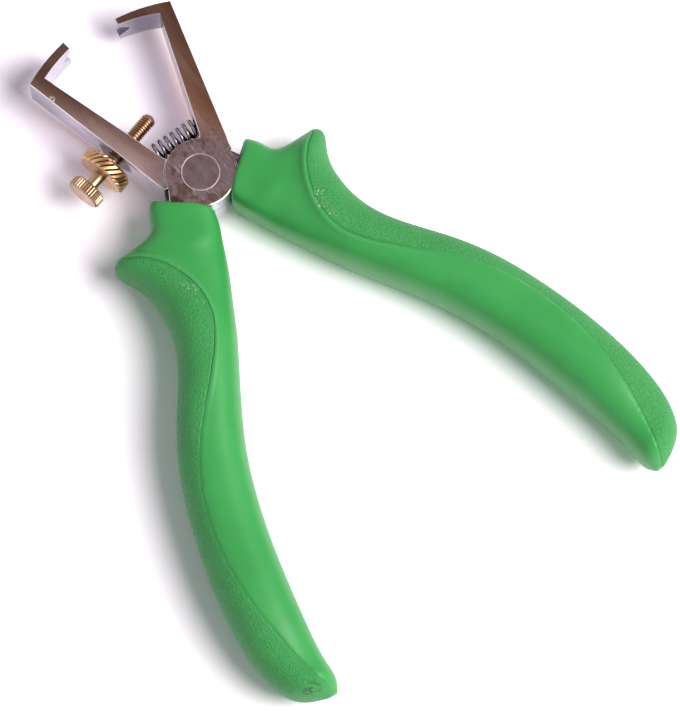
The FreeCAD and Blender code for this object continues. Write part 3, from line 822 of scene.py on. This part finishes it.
# Rubbed flecks on the palm's edge below the thumb guard, and one dark stain near the left end.
by_guard = rise(down_handle, 15, 17) * (1 - rise(down_handle, 20, 28))
on_palm_edge = rise(beyond_crest, -0.6, 0.2) * (1 - rise(beyond_crest, 0.8, 3.5))
rubbed = rise(noise(place, scale=420, detail=2), 0.45, 0.62)
dotted = rise(noise(place, scale=2300, detail=2), 0.56, 0.64)
flecks = by_guard * on_palm_edge * rubbed * dotted
near_stain = 1 - rise(distance(place, end_stain), stain_core, stain_reach)
stain = near_stain * rise(noise(place, scale=900, detail=3), 0.46, 0.54)
colour = tint(rise(cloud, 0.3, 0.7), green, deep_green)
colour = tint(palm * rise(grain, 0.50, 0.66) * 0.32, colour, pale_grain)
colour = tint(palm * (1 - rise(grain, 0.34, 0.50)) * 0.36, colour, dark_grain)
colour = tint(flecks, colour, rubbed_white)
colour = tint(stain * 0.85, colour, dark_stain)
# Painted shade down the crest's groove.
colour = tint(groove * 0.12, colour, groove_shade_green)
# Painted highlight along the crest's bead.
colour = tint(bead * 0.35, colour, bead_highlight_green)
# Painted highlight along the parting line.
colour = tint(parting * 0.35, colour, parting_highlight_green)
lay_on(
    grip_plastic, shade, Base_Color=colour, Normal=skin,
    Roughness=0.38 + 0.14 * palm + 0.08 * cloud - 0.06 * bead, Specular_IOR_Level=0.5,
)

rings = [(pocket_depth, 0, True), (pocket_rim, 0, True), (0.0, -pocket_flare, True)]
for angle in range(0, 90, 15):
    station = mouth_round * (1 - math.cos(math.radians(angle)))
    inset = mouth_round - math.sqrt(mouth_round ** 2 - (mouth_round - station) ** 2)
    rings.append((station, inset, False))
rings += [(station, 0, False) for station in numpy.arange(collar_start, guard_end, guard_step)]
rings += [(station, 0, False) for station in numpy.arange(guard_end, grip_length - toe_length, handle_step)]
toe_turn = numpy.radians(numpy.linspace(0, 90, toe_steps))
rings += [(station, 0, False) for station in grip_length - toe_length * numpy.cos(toe_turn) ** toe_round]
handle_stations = numpy.arange(0, handle_end, station_step)
handle_points = numpy.array([handle_line(station)[0].xy for station in handle_stations])
left_grip = bmesh.new()
past_layer = left_grip.verts.layers.float.new("past_crest")
station_layer = left_grip.verts.layers.float.new("station")
pocket, end = stack_rings(left_grip, grip_segments, rings, grip_point)
for vert in left_grip.verts:
    vert[past_layer] = past_crest(vert.co)
    apart = ((handle_points - numpy.array(vert.co.xy)) ** 2).sum(axis=1)
    vert[station_layer] = handle_stations[int(apart.argmin())]
bmesh.ops.edgeloop_fill(left_grip, edges=pocket)
bmesh.ops.edgeloop_fill(left_grip, edges=end)
for side, body, node in ((1, "upper_half", "left_grip"), (-1, "lower_half", "right_grip")):
    grip = left_grip.copy()
    bmesh.ops.scale(grip, verts=grip.verts, vec=(side * mm, mm, mm))
    bmesh.ops.recalc_face_normals(grip, faces=grip.faces)
    piece = make_piece(grip, node + "_moulding", grip_plastic)
    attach(piece, body)
    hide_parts(node)
left_grip.free()


# The stage: a white table under the tool, one large soft lamp from the right, a pale room all
# round and a brown ceiling that shows only in reflections.
view_turn = math.radians(-35.10)
view_tilt = math.radians(16.13)
view_roll = math.radians(-0.26)
view_from = Vector((-0.1942, -0.3297, 1.17632))
image_right = Vector((math.cos(view_turn), math.sin(view_turn), 0))
image_up = Vector((-math.sin(view_turn), math.cos(view_turn), 0))

camera = bpy.data.objects.new("camera", bpy.data.cameras.new("camera"))
camera.data.sensor_width = 36
camera.data.lens = 274.59
camera_turn = Matrix.Rotation(view_turn, 4, "Z") @ Matrix.Rotation(view_tilt, 4, "X")
camera_turn = camera_turn @ Matrix.Rotation(view_roll, 4, "Z")
camera.matrix_world = Matrix.Translation(view_from) @ camera_turn
bpy.context.scene.collection.objects.link(camera)
bpy.context.scene.camera = camera


def flat_sheet(name, size, middle, finish):
    mesh = bmesh.new()
    bmesh.ops.create_grid(mesh, x_segments=1, y_segments=1, size=size / 2)
    bmesh.ops.translate(mesh, verts=mesh.verts, vec=middle)
    data = bpy.data.meshes.new(name)
    mesh.to_mesh(data)
    mesh.free()
    data.materials.append(finish)
    sheet = bpy.data.objects.new(name, data)
    bpy.context.scene.collection.objects.link(sheet)
    return sheet


def seen_rays(shade):
    """1 for rays from the camera and for those that metal reflects or glass lets through."""
    seen = shade.node("LightPath", {}, output="Is Camera Ray")
    for kind in ("Is Glossy Ray", "Is Transmission Ray"):
        seen = shade.math("MAXIMUM", seen, shade.node("LightPath", {}, output=kind))
    return seen


# The table looks brighter than the light that it throws back on the tool.
table_size = 4.0
table_level = cad_box[0].z
table_roughness = 0.9
table_colour = (0.95, 0.90, 0.97, 1)
seen_extra = (0.82, 0.755, 0.83, 1)
table_white, shade = new_finish("table_white")
lay_on(table_white, shade, Base_Color=table_colour, Roughness=table_roughness, Specular_IOR_Level=0.0)
extra_colour = tint(seen_rays(shade), (0, 0, 0, 1), seen_extra)
extra = shade.node(
    "BsdfPrincipled",
    {"Base Color": extra_colour, "Roughness": table_roughness, "Specular IOR Level": 0.0},
)
plain = Shade(shade.tree, shade.tree.nodes["Principled BSDF"].outputs["BSDF"])
both = shade.node("AddShader", {0: plain, 1: extra})
shade.feed(shade.tree.nodes["Material Output"], {"Surface": both})
flat_sheet("table", table_size, (0, 0, table_level), table_white)

ceiling_size = 0.36
ceiling_height = 0.62
ceiling_middle = image_up * 0.323
ceiling_light = (0.26, 0.150, 0.105, 1)
ceiling_dark = (0.15, 0.080, 0.055, 1)
dusk_start, dusk_end = 0.222, 0.262
patch_colour = (0.56, 0.44, 0.46, 1)
patch_middle = image_up * 0.203 - image_right * 0.040
patch_core, patch_reach = 0.004, 0.044
ceiling_brown, shade = new_finish("ceiling_brown")
place = shade.node("TexCoord", {}, output="Object")
in_patch = 1 - rise(distance(place, (*patch_middle.xy, ceiling_height)), patch_core, patch_reach)
brown = tint(rise(along(place, image_up), dusk_start, dusk_end), ceiling_light, ceiling_dark)
lay_on(
    ceiling_brown, shade, Base_Color=(0, 0, 0, 1), Specular_IOR_Level=0.0, Emission_Strength=1.0,
    Emission_Color=tint(in_patch, brown, patch_colour),
)
ceiling = flat_sheet("ceiling", ceiling_size, (*ceiling_middle.xy, ceiling_height), ceiling_brown)
ceiling.visible_camera = False
ceiling.visible_diffuse = False
ceiling.visible_shadow = False

lamp_direction = image_right * 0.78 - image_up * 0.24 + Vector((0, 0, 1.0))
lamp_distance = 1.3
lamp = bpy.data.objects.new("key", bpy.data.lights.new("key", "AREA"))
lamp.data.shape = "DISK"
lamp.data.size = 0.9
lamp.data.energy = 16.0
lamp.data.color = (1.0, 0.985, 0.95)
lamp.location = lamp_direction.normalized() * lamp_distance
lamp.rotation_euler = lamp_direction.to_track_quat("Z", "Y").to_euler()
bpy.context.scene.collection.objects.link(lamp)

room_colour = (0.96, 0.93, 1.0, 1)
room_light, room_seen_extra = 0.20, 0.80
world = bpy.data.worlds.new("room")
bpy.context.scene.world = world
world.use_nodes = True
room = Shade(world.node_tree)
strength = room_light + seen_rays(room) * room_seen_extra
room.feed(room.tree.nodes["Background"], {"Color": room_colour, "Strength": strength})
bpy.context.scene.view_settings.view_transform = "Standard"
